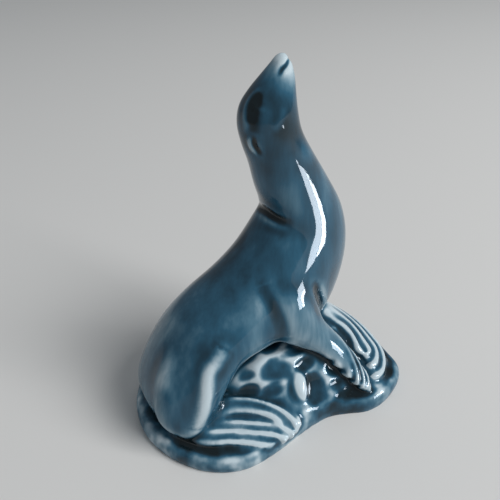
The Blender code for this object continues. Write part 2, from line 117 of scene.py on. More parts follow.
def curve_at(rows, t):
    """Smooth curve through rows of numbers, at t from 0 to 1."""
    rows = np.asarray(rows, float)
    rows = np.vstack([2 * rows[0] - rows[1], rows, 2 * rows[-1] - rows[-2]])
    place = np.clip(np.asarray(t, float), 0, 1) * (len(rows) - 3)
    start = np.minimum(place.astype(int), len(rows) - 4)
    f = (place - start)[..., None]
    a, b, c, d = (rows[start + k] for k in range(4))
    return b + 0.5 * f * (c - a + f * (2 * a - 5 * b + 4 * c - d + f * (3 * (b - c) + d - a)))


def ball_grid(rings, around):
    """A sphere with each vertex's place from pole to pole and its angle about them."""
    bm = bmesh.new()
    bmesh.ops.create_uvsphere(bm, u_segments=around, v_segments=rings, radius=1)
    points = np.array([vertex.co for vertex in bm.verts])
    s = np.arccos(np.clip(points[:, 2], -1, 1)) / math.pi
    angle = np.arctan2(points[:, 1], points[:, 0])
    swell = np.where(np.abs(points[:, 2]) > 0.99999, 0.0, 1.0)
    return bm, s, angle, swell


def keep(bm, points, pieces):
    """Moves the grid's vertices to their points and keeps it with the other pieces."""
    for vertex, point in zip(bm.verts, points):
        vertex.co = Vector(point)
    bmesh.ops.recalc_face_normals(bm, faces=bm.faces)
    mesh = bpy.data.meshes.new("piece")
    bm.to_mesh(mesh)
    bm.free()
    pieces.append(mesh)


# Sections from the rump to the nose: how far along and how high the back is, how far
# along and how high the belly, chest or throat is, half the width, and the keel, which
# is how much narrower the front is than the back
BODY = [
    (2.4, -16.0, 10.5, -20.0, RUMP_WIDTH * 0.24, 0),
    (-0.3, -9.2, 16.8, -20.6, RUMP_WIDTH * 0.47, 0),
    (3.4, 1.2, 26.5, -15.5, RUMP_WIDTH * 0.515, 0),
    (10.4, 10.6, 34.0, -5.0, RUMP_WIDTH * 0.51, 0),
    (18.2, 18.7, 42.6, 0.8, RUMP_WIDTH * 0.47, 0.04),
    (27.9, 25.0, 53.8, 1.0, CHEST_WIDTH * 0.535, 0.10),
    (38.6, 30.8, 68.1, 0.6, CHEST_WIDTH * 0.51, 0.17),
    (48.7, 37.9, 81.2, 0.8, CHEST_WIDTH * 0.485, 0.23),
    (55.0, 44.9, 91.6, 6.0, CHEST_WIDTH * 0.45, 0.27),
    (57.0, 48.0, 99.1, 19.5, CHEST_WIDTH * 0.41, 0.27),
    (59.2, 51.3, 100.7, 33.9, CHEST_WIDTH * 0.37, 0.22),
    (55.7, 58.6, 96.4, 47.5, NECK_WIDTH * 0.54, 0.15),
    (52.8, 67.2, 87.6, 59.3, NECK_WIDTH * 0.49, 0.08),
    (49.7, 73.7, 79.0, 69.5, NECK_WIDTH * 0.454, 0),
    (47.7, 80.1, 73.5, 77.1, HEAD_WIDTH * 0.50, 0),
    (48.6, 85.6, 71.3, 83.5, HEAD_WIDTH * 0.463, 0),
    (52.5, 90.0, 70.4, 89.0, HEAD_WIDTH * 0.38, 0),
    (57.2, 93.9, 70.0, 93.2, HEAD_WIDTH * 0.287, 0),
    (60.9, 97.0, 69.0, 96.8, HEAD_WIDTH * 0.194, 0),
    (63.1, 99.2, 67.6, 99.2, HEAD_WIDTH * 0.11, 0),
    (65.1, 100.2, 66.0, 100.0, HEAD_WIDTH * 0.02, 0),
]


def skin(s, angle, swell=1.0):
    """A point on the body: s runs from rump to nose, and the angle from the chest side."""
    rows = curve_at(BODY, s)
    turn = np.cos(angle) * swell
    x = along((rows[..., 0] + rows[..., 2] + (rows[..., 2] - rows[..., 0]) * turn) / 2)
    z = above((rows[..., 1] + rows[..., 3] + (rows[..., 3] - rows[..., 1]) * turn) / 2)
    y = rows[..., 4] * np.sin(angle) * swell * (1 - rows[..., 5] * turn)
    return np.stack([x, y, z], -1)


def body(pieces):
    """Rump, back, chest, neck and head in one run of sections."""
    bm, s, angle, swell = ball_grid(100, 72)
    keep(bm, skin(s, angle, swell), pieces)


def limb(pieces, rows, ridges=None, under=1.0, rings=72, around=64):
    """A limb through rows of centre, half width, half thickness and the way its top faces.

    Ridges are a pitch, a slant, a height and the share of the length where they begin.
    """
    bm, s, angle, swell = ball_grid(rings, around)
    values = curve_at(rows, s)
    step = 0.01
    tangent = curve_at(rows, s + step)[:, :3] - curve_at(rows, s - step)[:, :3]
    tangent /= np.linalg.norm(tangent, axis=1)[:, None]
    across = np.cross(values[:, 5:8], tangent)
    across /= np.linalg.norm(across, axis=1)[:, None]
    top = np.cross(tangent, across)
    t = np.cos(angle)
    c = np.sin(angle)
    half = values[:, 3]
    width = half * t * swell
    height = values[:, 4] * np.where(c > 0, c, c * under) * swell
    if ridges:
        pitch, slant, lift, begin = ridges
        length = s * np.linalg.norm(np.diff(np.array(rows)[:, :3], axis=0), axis=1).sum()
        phase = ((1 - t) * half - slant * length) / pitch
        crest = (0.5 + 0.5 * np.cos(2 * math.pi * phase)) ** 1.3
        fade = np.clip((s - begin) / 0.2, 0, 1) * np.clip((1 - s) / 0.08, 0, 1)
        height += lift * (crest - 0.5) * fade * np.clip(c * 3, 0, 1)
        width -= lift * 1.3 * (crest - 0.4) * fade * np.clip(-t * 3 - 1.6, 0, 1)
    points = values[:, :3] + across * width[:, None] + top * height[:, None]
    keep(bm, points, pieces)


def bent(start, end, rows):
    """Limb rows between two places, from the share of the way and the bend off the straight.

    Both are in hundredths of the straight line's length.
    """
    start = np.array(start, float)
    end = np.array(end, float)
    length = np.linalg.norm(end - start)
    made = []
    for share, bend, *rest in rows:
        place = start + (end - start) * share / 100 + length * np.array(bend) / 100
        made.append((*place, *rest))
    return made


def thighs(pieces):
    """The folded thighs, one on each side of the rump, merged with it behind."""
    for side, forward, proud in ((-1, 0.0, 1.0), (1, 6.0, 0.6)):
        hip = (along(27.0 + forward), 0, above(13.8))
        knee = (along(6.6 + forward), side * RUMP_WIDTH * 0.28, above(-18.2))
        face = (-0.35, side, 0.3)
        wide = THIGH_WIDTH
        rows = [
            (0, (0, 0, 0), wide * 0.1, wide * 0.1, *face),
            (13, (-2.3, side * 7.0 * proud, 0), wide * 0.36, wide * 0.27, *face),
            (37, (-2.3, side * 9.5 * proud, 0), wide * 0.49, wide * 0.31, *face),
            (66, (-1.1, side * 8.5 * proud, 0), wide * 0.47, wide * 0.33, *face),
            (87, (-0.3, side * 4.0 * proud, 0), wide * 0.36, wide * 0.29, *face),
            (100, (0, 0, 0), wide * 0.07, wide * 0.07, *face),
        ]
        limb(pieces, bent(hip, knee, rows))


def near_arm(pieces):
    """The right arm and flipper, which lie down the near side of the rock."""
    shoulder = (along(57.6), -CHEST_WIDTH * 0.15, above(33.0))
    tip = (*on_rock(26, -45.7), RIM_HEIGHT * 1.2)
    arm = ARM_WIDTH
    deep = ARM_THICKNESS
    flipper = FLIPPER_WIDTH
    thin = FLIPPER_THICKNESS
    rows = [
        (0, (0, 0, 0), arm * 0.41, deep * 0.47, -0.3, -0.9, 0.3),
        (16, (-7.2, -3.6, -2.0), arm * 0.5, deep * 0.53, -0.3, -0.9, 0.3),
        (32, (-8.0, -0.8, -2.6), arm * 0.48, deep * 0.5, -0.3, -0.9, 0.4),
        (45.5, (-4.0, 4.5, -3.0), arm * 0.39, deep * 0.43, -0.3, -0.8, 0.6),
        (58.5, (0.1, 7.1, -2.6), flipper * 0.54, thin * 0.9, -0.1, -0.6, 0.8),
        (70.5, (2.7, 6.8, -2.0), flipper * 0.48, thin * 0.62, 0.1, -0.5, 0.85),
        (83, (2.4, 4.4, -0.9), flipper * 0.42, thin * 0.5, 0.2, -0.5, 0.85),
        (94, (1.5, 2.1, -0.3), flipper * 0.28, thin * 0.38, 0.2, -0.6, 0.8),
        (100, (0, 0, 0), flipper * 0.04, thin * 0.15, 0.2, -0.6, 0.8),
    ]
    limb(pieces, bent(shoulder, tip, rows), (RIDGE_PITCH * 0.8, 0.35, RIDGE_HEIGHT, 0.55), 1.8)


def far_arm(pieces):
    """The left arm, whose broad flipper drapes over the front of the rock."""
    shoulder = (along(74), CHEST_WIDTH * 0.225, above(17.8))
    tip = (*on_rock(28.3, -43.7), RIM_HEIGHT * 1.15)
    arm = ARM_WIDTH
    deep = ARM_THICKNESS
    fan = FAN_WIDTH
    thin = FLIPPER_THICKNESS
    rows = [
        (0, (0, 0, 0), arm * 0.34, deep * 0.38, 0.8, 0.3, 0.3),
        (13, (3.0, 7.4, -5.5), arm * 0.34, deep * 0.36, 0.8, 0.3, 0.3),
        (27.5, (9.8, 12.6, -8.0), arm * 0.36, deep * 0.32, 0.6, 0.2, 0.5),
        (42.5, (17.3, 13.0, -6.8), fan * 0.40, thin * 0.77, 0.5, 0, 0.8),
        (57.5, (21.0, 12.4, -4.2), fan * 0.49, thin * 0.58, 0.5, -0.1, 0.85),
        (72.5, (22.6, 11.7, -2.8), fan * 0.45, thin * 0.5, 0.5, -0.3, 0.8),
        (84.5, (22.2, 10.8, -1.6), fan * 0.39, thin * 0.46, 0.5, -0.3, 0.8),
        (93, (15.7, 7.1, -0.6), fan * 0.3, thin * 0.42, 0.5, -0.5, 0.7),
        (97.5, (7.2, 3.0, 0), fan * 0.17, thin * 0.38, 0.5, -0.5, 0.7),
        (100, (0, 0, 0), fan * 0.02, thin * 0.15, 0.5, -0.5, 0.7),
    ]
    limb(pieces, bent(shoulder, tip, rows), (RIDGE_PITCH * 1.25, 0.08, RIDGE_HEIGHT, 0.3), 2.8)


def hind_flippers(pieces):
    """The hind flippers, one lobe over the other, flat along the rim."""
    rump = (*on_rock(-40.8, -13.9), RIM_HEIGHT * 1.7)
    end = (*on_rock(-4, -44.7), RIM_HEIGHT * 0.86)
    wide = HIND_WIDTH
    thin = HIND_THICKNESS
    face = (0, -0.3, 1)
    rows = [
        (0, (0, 0, 0), wide * 0.33, thin * 0.8, *face),
        (24, (-3.0, -4.7, -0.2), wide * 0.44, thin * 0.66, *face),
        (44.5, (-3.2, -5.1, 0.4), wide * 0.5, thin * 0.53, *face),
        (62.5, (-3.0, -4.3, 1.2), wide * 0.47, thin * 0.5, *face),
        (79.5, (-2.2, -2.4, 1.6), wide * 0.4, thin * 0.46, *face),
        (92, (-1.0, -1.2, 1.0), wide * 0.25, thin * 0.36, *face),
        (100, (0, 0, 0), wide * 0.03, thin * 0.17, *face),
    ]
    limb(pieces, bent(rump, end, rows), (RIDGE_PITCH * 0.85, 0, RIDGE_HEIGHT * 0.75, 0.1), 1.5)
    wide = LOBE_WIDTH
    face = (0, -0.35, 1)
    rows = [
        (0, (0, 0, 0), wide * 0.4, thin * 0.66, *face),
        (17, (1.9, 2.1, 2.3), wide * 0.46, thin * 0.57, *face),
        (32, (5.1, 6.8, 4.0), wide * 0.5, thin * 0.5, *face),
        (52.5, (6.6, 8.4, 5.4), wide * 0.5, thin * 0.46, *face),
        (73.5, (4.9, 5.8, 4.9), wide * 0.48, thin * 0.43, *face),
        (91, (1.9, 2.1, 2.8), wide * 0.3, thin * 0.36, *face),
        (100, (0, 0, 0), wide * 0.05, thin * 0.17, *face),
    ]
    rump = (*on_rock(-34.1, -17.7), RIM_HEIGHT * 2.3)
    end = (*on_rock(-3.6, -45.7), RIM_HEIGHT)
    limb(pieces, bent(rump, end, rows), (RIDGE_PITCH * 0.9, 0, RIDGE_HEIGHT * 0.8, 0.1), 1.8)


# The rock's outline seen from above, in hundredths of its length and width
OUTLINE = [
    (49.5, 4), (49.6, -10), (48.6, -22), (47.4, -33), (43.5, -40.3), (37, -45.8), (30.5, -48.9),
    (24, -49), (17.5, -45.2), (11.5, -42.3), (5, -42.4), (-3, -44.4), (-12, -47.4), (-22, -49.3),
    (-30, -47.8), (-38, -40.9), (-44, -30.2), (-48, -18), (-50, -5), (-49.5, 8), (-46.5, 22),
    (-39, 38), (-28, 46.5), (-14, 50), (3, 50), (19, 49), (35, 44), (45, 29),
]


def rock_top(x, y):
    """Height of the rock: a crown that slopes to a low shelf, a saddle in the belly and a
    rest under the tips of the fore flippers.
    """
    u = x / BASE_LENGTH * 100
    v = y / BASE_WIDTH * 100
    ahead = np.where(u > 9.5, (u - 9.5) / 38.5, (9.5 - u) / 50)
    broad = 17 + 8 * slow(v, 0, 10)
    crown = (broad + 3 * slow(-u, -7.5, 6)) * np.clip(1 - ahead ** 2, 0, 1)
    foot = np.where(v < 0, 43.5 - 12 * slow(-u, 1, 19), 43.5)
    aside = np.clip((np.abs(v + 1.3) - crown) / (foot - broad), 0, 2)
    fall = np.sqrt(aside ** 2 + np.clip((ahead - 0.35) / 0.65, 0, 2) ** 2)
    mound = (1 - slow(fall, -0.25, 1.1)) * 1.16
    saddle = (1 - slow(np.abs(v), 9, 15)) * (1 - slow(np.abs(u + 3), 16, 26)) * 1.23
    rest = 0.16 * np.exp(-(((u - 28.5) / 5) ** 2) - ((v + 38) / 7) ** 2)
    return RIM_HEIGHT + (ROCK_HEIGHT - RIM_HEIGHT) * (np.maximum(mound, saddle) + rest)


def rock(pieces):
    """The rock: a low mound with an upright, rounded rim and a bevelled foot."""
    bm, s, angle, swell = ball_grid(100, 160)
    turn = (angle / (2 * math.pi)) % 1
    x, y = on_rock(*curve_at(OUTLINE + OUTLINE[:1], 1 - turn).T)
    radius = np.hypot(x, y)
    inset = RIM_ROUNDING * np.interp(s, [0.43, 0.46, 0.485, 0.5], [1, 0.38, 0.12, 0])
    inset += FOOT_BEVEL * np.interp(s, [0.5, 0.53, 0.56], [0, 1, 2])
    inset = np.where(s < 0.43, radius + (RIM_ROUNDING - radius) * s / 0.43, inset)
    inset = np.where(s > 0.56, radius * np.interp(s, [0.56, 1], [0.06, 1]), inset)
    x = x * (1 - inset / radius)
    y = y * (1 - inset / radius)
    edge = np.interp(s, [0.43, 0.46, 0.485, 0.5], [1, 0.93, 0.72, 0.42])
    under = RIM_HEIGHT * np.interp(s, [0.53, 0.56], [0, -0.4])
    z = np.where(s < 0.5, rock_top(x, y) * edge, under)
    z = np.where(np.abs(s - 0.5) < 0.001, RIM_HEIGHT * 0.42, z)
    keep(bm, np.stack([x, y, z], 1), pieces)


def joined(pieces, grain):
    """An object with all the pieces and a modifier that wraps them in one closed skin."""
    bm = bmesh.new()
    for mesh in pieces:
        bm.from_mesh(mesh)
        bpy.data.meshes.remove(mesh)
    mesh = bpy.data.meshes.new("pieces")
    bm.to_mesh(mesh)
    bm.free()
    holder = bpy.data.objects.new("holder", mesh)
    bpy.context.scene.collection.objects.link(holder)
    remesh = holder.modifiers.new("skin", "REMESH")
    remesh.mode = "VOXEL"
    remesh.voxel_size = grain
    return holder


def baked(holder):
    """The mesh that the holder's modifiers make; the holder goes."""
    bpy.context.view_layer.update()
    graph = bpy.context.evaluated_depsgraph_get()
    result = bpy.data.meshes.new_from_object(holder.evaluated_get(graph))
    bpy.data.objects.remove(holder)
    return result


def read(items, name, size, kind=float):
    """Numbers of a mesh's vertices or edges, one row for each."""
    values = np.empty(len(items) * size, dtype=kind)
    items.foreach_get(name, values)
    return values.reshape(-1, size)


def smoothed(points, edges, rounds, strength=0.5):
    """Points moved towards the middle of their neighbours, round after round."""
    count = np.bincount(edges.ravel(), minlength=len(points))[:, None]
    for _ in range(rounds):
        total = np.empty_like(points)
        for axis in range(3):
            column = points[:, axis]
            forth = np.bincount(edges[:, 0], column[edges[:, 1]], len(points))
            back = np.bincount(edges[:, 1], column[edges[:, 0]], len(points))
            total[:, axis] = forth + back
        points = points + strength * (total / count - points)
    return points


def carve(points, normals, path, width, depth):
    """Sinks a soft groove under a path; a negative depth raises a ridge."""
    shares = np.linspace(0, 1, 36)
    under = [points[((points - place) ** 2).sum(1).argmin()] for place in path]
    line = curve_at(under, shares)
    reach = 3 * width
    near = np.all((points > line.min(0) - reach) & (points < line.max(0) + reach), axis=1)
    spots = points[near]
    gaps = np.stack([np.linalg.norm(spots - spot, axis=1) for spot in line], 1)
    closest = gaps.argmin(1)
    fade = np.sqrt(np.sin(math.pi * (0.02 + 0.96 * shares[closest])))
    sink = depth * fade * np.exp(-((gaps.min(1) / width) ** 2))
    points[near] -= normals[near] * sink[:, None]


def on_skin(*places):
    """Points on the body from pairs of place along it and angle in degrees."""
    return [skin(np.array(s), math.radians(degrees)) for s, degrees in places]


def face(points, normals):
    """Brow, eye, ear, cheek and mouth on both sides of the turned head."""
    wide = HEAD_WIDTH
    eye = EYE_LENGTH
    deep = FACE_DEPTH
    for mirrored in (False, True):

        def side(*places):
            if mirrored:
                places = [(s, -2 * HEAD_TURN - degrees) for s, degrees in places]
            return on_skin(*places)

        def cut(width, depth, *places):
            carve(points, normals, side(*places), width, depth)

        cut(wide * 0.12, deep * 0.6, (0.7, 212), (0.735, 217), (0.765, 218))
        cut(eye * 0.55, deep * 1.1, (0.745, 206), (0.77, 205), (0.79, 203))
        cut(eye * 0.36, deep * -1.1, (0.757, 207), (0.77, 206), (0.78, 205))
        cut(wide * 0.06, deep * -0.8, (0.7, 198), (0.748, 193), (0.778, 191), (0.81, 195))
        cut(wide * 0.08, deep * -0.3, (0.712, 246), (0.735, 262), (0.775, 268))
        cut(wide * 0.042, deep, (0.684, 212), (0.668, 209), (0.652, 213))
        cut(wide * 0.042, -deep, (0.686, 202), (0.666, 200), (0.648, 205))
        lips = ((0.935, 335), (0.925, 300), (0.91, 262), (0.89, 243), (0.868, 238))
        cut(wide * 0.037, deep, *lips)


# The ridge down the front of a folded thigh: along the body, share of the rump's width
# and height
SHIN = [
    (27.9, 0.42, 15.4), (23.8, 0.43, 12.2), (20.2, 0.445, 8.6), (17.0, 0.485, 2.5),
    (14.5, 0.52, -4.2), (12.2, 0.53, -10.5),
]


def creases(points, normals):
    """Folds of the nape, edges of the arms and ridges of the thighs."""
    wide = CREASE_WIDTH
    deep = CREASE_DEPTH
    nape = on_skin((0.49, 150), (0.491, 168), (0.493, 184), (0.496, 200), (0.499, 214))
    carve(points, normals, nape, wide, deep * 0.9)
    roll = on_skin((0.468, 172), (0.47, 188), (0.474, 204))
    carve(points, normals, roll, wide * 1.6, deep * -0.2)
    second = on_skin((0.44, 186), (0.447, 204), (0.456, 220))
    carve(points, normals, second, wide * 1.5, deep * 0.15)
    rear = on_skin((0.332, 218), (0.324, 231), (0.319, 244), (0.311, 260), (0.303, 284))
    carve(points, normals, rear, wide * 1.8, deep * 0.55)
    for side, forward in ((-1, 0), (1, 6)):
        shin = [
            (along(share + forward), side * RUMP_WIDTH * out, above(height))
            for share, out, height in SHIN
        ]
        carve(points, normals, shin, wide * 2.0, deep * -1.3)
    front = on_skin((0.402, 266), (0.394, 282), (0.388, 300), (0.38, 318))
    carve(points, normals, front, wide * 1.2, deep)


# Hollows seen in the near side of the rock: place in hundredths of its length and width,
# then half length, half width up the slope and depth as shares of the usual
HOLLOWS = [
    (-5.7, -24.5, 1.35, 1.05, 1.0), (2.7, -20, 1.15, 0.6, 0.8), (5.3, -26.1, 0.95, 0.55, 0.6),
    (6.8, -35.8, 1.1, 1.5, 1.3), (17, -41.5, 1.1, 0.66, 0.6), (-15.3, -22.8, 0.95, 0.6, 0.7),
    (-8.7, -28.6, 1.15, 0.55, 0.5), (-15.3, -18.6, 0.9, 0.55, 0.5), (16.5, -30.7, 0.9, 0.65, 0.45),
    (14.6, -36.3, 0.75, 0.55, 0.45), (39.4, -37.2, 0.7, 0.65, 0.6), (35.4, -46.4, 0.7, 0.6, 0.6),
]
KNOLL = (1.1, -32.4, 0.7, 1.05, -1.3)


def bowl(points, normals, bare, place, half_length, half_width, depth):
    """Sinks a rounded hollow with a faint lip; a negative depth raises a knoll."""
    x, y, z = (points - place).T
    apart = np.sqrt((x / half_length) ** 2 + (y * y + z * z) / half_width ** 2)
    near = apart < 1.8
    apart = apart[near]
    sink = (1 - np.clip(apart, 0, 1) ** 3) ** 2
    lip = 0.1 * np.exp(-(((apart - 1.15) / 0.3) ** 2))
    points[near] -= normals[near] * ((sink - lip) * depth * bare[near])[:, None]


def dimples(points, normals):
    """Rounded hollows all over the rock, with soft ridges between them."""
    rng = random.Random(7)
    hollows = [(*on_rock(*hollow[:2]), *hollow[2:]) for hollow in HOLLOWS]
    seen = [hollow[:2] for hollow in hollows]
    columns = int(BASE_LENGTH / DIMPLE_PITCH) + 1
    lines = int(BASE_WIDTH / DIMPLE_PITCH) + 1
    for column in range(-columns, columns + 1):
        for line in range(-lines, lines + 1):
            x = (column + 0.5 * (line % 2) + rng.uniform(-0.2, 0.2)) * DIMPLE_PITCH
            y = (line + rng.uniform(-0.2, 0.2)) * DIMPLE_PITCH * 0.87
            size = (rng.uniform(0.9, 1.3), rng.uniform(0.75, 1.05), rng.uniform(0.4, 0.7))
            if min(math.hypot(x - a, y - b) for a, b in seen) > DIMPLE_PITCH * 0.62:
                hollows.append((x, y, *size))
    below = rock_top(points[:, 0], points[:, 1]) - points[:, 2]
    bare = 0.3 + 0.7 * slow(points[:, 2], RIM_HEIGHT, RIM_HEIGHT * 2)
    bare *= np.exp(-((below / DIMPLE_DEPTH) ** 2))
    half = DIMPLE_PITCH / 2
    for x, y, half_length, half_width, depth in hollows:
        place = (x, y, float(rock_top(x, y)))
        sizes = (half_length * half, half_width * half, depth * DIMPLE_DEPTH)
        bowl(points, normals, bare, place, *sizes)
    u, v, half_length, half_width, depth = KNOLL
    x, y = on_rock(u, v)
    place = (x, y, float(rock_top(x, y)))
    bowl(points, normals, bare, place, half_length * half, half_width * half, depth * DIMPLE_DEPTH)


def melted(points, edges, grain):
    """Melts limbs and body into one another, away from rock, fore flippers and head."""
    rise = points[:, 2] - rock_top(points[:, 0], points[:, 1])
    share = slow(rise, RIM_HEIGHT * 0.8, RIM_HEIGHT * 1.8)
    share *= 1 - slow(points[:, 2], above(55), above(72))
    low = 1 - slow(points[:, 2], above(1), above(8))
    share *= 1 - low * slow(points[:, 0], along(84), along(92))
    rounds = int((2 * MELT / grain) ** 2)
    return smoothed(points, edges, rounds, 0.5 * share[:, None])


# The fine skin: its grain, and the rounds of smoothing before and after it is carved
FINE_GRAIN = 0.67
SOFTEN = 5
SETTLE = 2

# Rounds of smoothing that leave out ever wider forms, added one after another
ROUNDS = (6, 18, 60)

# Deep glaze over an eye and below it: places along the body and angles in degrees
EYE_POOL = [(0.79, 205), (0.775, 205), (0.76, 206), (0.738, 210)]

# Low fold between the near thigh and the rump, and how strong the painted shade is there
RUMP_FOLD = [(-55, -13, 27), (-54, -16, 19), (-51, -20, 12), (-45, -24, 8)]
FOLD_SHADE_SHARE = 0.4

# Thin glaze: middle lines of the far fore flipper and of the hind flippers, and places
# along the body and angles in degrees down the throat
FAN_PATH = [(32.5, -1, 28), (38, -8, 23), (44.7, -20.7, 13.5), (40, -30, 10)]
HIND_PATH = [(-46, -16, 10), (-27, -27, 9), (-12, -33, 8), (-5, -35, 7)]
THROAT = [(0.68, 318), (0.72, 320), (0.76, 318), (0.8, 312)]


def ranged(points, normals, edges):
    """How proud the skin stands of its own smoothed form, from fine to wide."""
    layers = []
    soft = points
    for rounds in ROUNDS:
        soft = smoothed(soft, edges, rounds)
        layers.append(((points - soft) * normals).sum(1))
    return layers


def beside(points, path, width):
    """One along a path, falling to nothing at the width."""
    line = curve_at(path, np.linspace(0, 1, 24))
    gap = np.min([np.linalg.norm(points - spot, axis=1) for spot in line], axis=0)
    return 1 - slow(gap / width, 0.3, 1)


def eye_glaze_and_fold_shade(points):
    """Deep glaze over each eye, and a weaker painted shade along the fold behind the near thigh.
    """
    share = FOLD_SHADE_SHARE * beside(points, RUMP_FOLD, EYE_LENGTH * 2)
    turned = [(s, -2 * HEAD_TURN - angle) for s, angle in EYE_POOL]
    for places in (EYE_POOL, turned):
        share = np.maximum(share, beside(points, on_skin(*places), EYE_LENGTH * 0.85))
    return share


def thin_glaze(points):
    """Where the glaze runs thin: over the ridged flippers and down the throat."""
    share = beside(points, FAN_PATH, FAN_WIDTH * 0.62)
    share = np.maximum(share, beside(points, HIND_PATH, HIND_WIDTH * 0.62))
    return np.maximum(share, beside(points, on_skin(*THROAT), HEAD_WIDTH * 0.5))


def fine_mesh():
    """The figurine's skin in fine grain, carved, with its glaze layers at each vertex."""
    pieces = []
    body(pieces)
    thighs(pieces)
    near_arm(pieces)
    far_arm(pieces)
    hind_flippers(pieces)
    rock(pieces)
    mesh = baked(joined(pieces, FINE_GRAIN))
    edges = read(mesh.edges, "vertices", 2, np.int64)
    points = smoothed(read(mesh.vertices, "co", 3), edges, SOFTEN)
    points = melted(points, edges, FINE_GRAIN)
    mesh.vertices.foreach_set("co", points.ravel())
    mesh.update()
    normals = read(mesh.vertex_normals, "vector", 3)
    dimples(points, normals)
    creases(points, normals)
    face(points, normals)
    points = smoothed(points, edges, SETTLE)
    points[:, :2] -= (points[:, :2].min(0) + points[:, :2].max(0)) / 2
    mesh.vertices.foreach_set("co", points.ravel())
    mesh.update()
    normals = read(mesh.vertex_normals, "vector", 3)
    layers = ranged(points, normals, edges) + [eye_glaze_and_fold_shade(points), thin_glaze(points)]
    # The deep layer holds the dark glaze of the eyes and the painted shade behind the near thigh
    for name, layer in zip(("pool_fine", "pool_line", "pool_wide", "deep", "thin"), layers):
        mesh.attributes.new(name, "FLOAT", "POINT").data.foreach_set("value", layer)
    return mesh


def footed(mesh):
    """Cuts the underside flat at zero height, closes it and turns millimetres to metres."""
    bm = bmesh.new()
    bm.from_mesh(mesh)
    everything = bm.verts[:] + bm.edges[:] + bm.faces[:]
    bmesh.ops.bisect_plane(
        bm, geom=everything, plane_co=(0, 0, 0), plane_no=(0, 0, 1), clear_inner=True, dist=0.02
    )
    rim = [edge for edge in bm.edges if edge.is_boundary]
    bmesh.ops.holes_fill(bm, edges=rim, sides=0)
    bmesh.ops.scale(bm, vec=(MM, MM, MM), verts=bm.verts)
    bmesh.ops.recalc_face_normals(bm, faces=bm.faces)
    result = bpy.data.meshes.new("seal_glazed")
    bm.to_mesh(result)
    bm.free()
    result.shade_smooth()
    return result


class Net:
    """A small helper that adds and links a material's nodes."""

    def __init__(self, name):
        self.material = bpy.data.materials.new(name)
        self.material.use_nodes = True
        self.tree = self.material.node_tree
        self.shader = self.tree.nodes["Principled BSDF"]

    def feed(self, socket, value):
        """Links another node's output to a socket, or sets it to a value."""
        if isinstance(value, bpy.types.NodeSocket):
            self.tree.links.new(value, socket)
        else:
            socket.default_value = value

    def math(self, operation, first, second=0.0, third=0.0):
        """The result of a sum on up to three values or outputs."""
        node = self.tree.nodes.new("ShaderNodeMath")
        node.operation = operation
        for socket, value in zip(node.inputs, (first, second, third)):
            self.feed(socket, value)
        return node.outputs[0]

    def layer(self, name):
        """A value stored at each vertex of the mesh."""
        node = self.tree.nodes.new("ShaderNodeAttribute")
        node.attribute_name = name
        return node.outputs["Fac"]

    def noise(self, scale, stretch=(1, 1, 1), detail=3.0, rough=0.5, shift=0.0):
        """Soft noise in the object's own space, from 0 to 1."""
        place = self.tree.nodes.new("ShaderNodeTexCoord")
        move = self.tree.nodes.new("ShaderNodeMapping")
        move.inputs["Scale"].default_value = stretch
        move.inputs["Location"].default_value = (shift, shift, shift)
        self.tree.links.new(place.outputs["Object"], move.inputs["Vector"])
        cloud = self.tree.nodes.new("ShaderNodeTexNoise")
        self.tree.links.new(move.outputs["Vector"], cloud.inputs["Vector"])
        cloud.inputs["Scale"].default_value = scale
        cloud.inputs["Detail"].default_value = detail
        cloud.inputs["Roughness"].default_value = rough
        return cloud.outputs["Fac"]

    def level_tone(self, low, high, change):
        """A change that comes in smoothly between two heights."""
        place = self.tree.nodes.new("ShaderNodeTexCoord")
        split = self.tree.nodes.new("ShaderNodeSeparateXYZ")
        self.tree.links.new(place.outputs["Object"], split.inputs[0])
        node = self.tree.nodes.new("ShaderNodeMapRange")
        node.interpolation_type = "SMOOTHSTEP"
        self.feed(node.inputs["Value"], split.outputs["Z"])
        self.feed(node.inputs["From Min"], low)
        self.feed(node.inputs["From Max"], high)
        self.feed(node.inputs["To Max"], change)
        return node.outputs["Result"]

    def ramp(self, value, stops):
        """A colour that runs through the stops."""
        node = self.tree.nodes.new("ShaderNodeValToRGB")
        self.feed(node.inputs["Fac"], value)
        marks = node.color_ramp.elements
        while len(marks) < len(stops):
            marks.new(0.5)
        for mark, (place, colour) in zip(marks, stops):
            mark.position = place
            mark.color = (*colour, 1)
        return node.outputs["Color"]


# Colours of the glaze from where it pools deepest to where it breaks over an edge
GLAZE = [
    (0.00, (0.005, 0.011, 0.014)),
    (0.20, (0.009, 0.026, 0.038)),
    (0.36, (0.015, 0.053, 0.086)),
    (0.52, (0.026, 0.098, 0.160)),
    (0.66, (0.080, 0.180, 0.250)),
    (0.80, (0.220, 0.330, 0.400)),
    (1.00, (0.540, 0.640, 0.690)),
]

# Place of the plain glaze on that scale
PLAIN = 0.34

# Layers of the skin: how proud in millimetres counts as an edge, and the change it makes;
# a hollow makes a lesser change, by this share
LAYERS = [("pool_fine", 0.1, 0.18), ("pool_line", 0.28, 0.4), ("pool_wide", 0.7, 0.2)]
POOL_SHARE = 0.42

# Noise in the glaze: scale, stretch, detail, roughness, shift and the change it makes
CLOUDS = [(90, (1, 1, 0.16), 4, 0.6, 0, 0.65), (26, (1, 1, 0.55), 3, 0.5, 3.1, 0.95)]

# Changes between two heights in metres: dark neck and head, pale nose that is partly a
# painted highlight, paler rump and rock, dark rim
LEVELS = [
    (0.1, 0.128, -0.44), (0.134, 0.146, 0.52), (0.085, 0.035, 0.07), (0.013, 0.004, -0.24),
]
RIM_SPOTS = (0.016, 0.007, 1.1)
SPOT_SCALE = 130
# Darkening by the deep layer: the eyes' dark glaze, and painted shade behind the near thigh
EYE_GLAZE_AND_SHADE_CHANGE = -0.6
THIN_CHANGE = 0.3

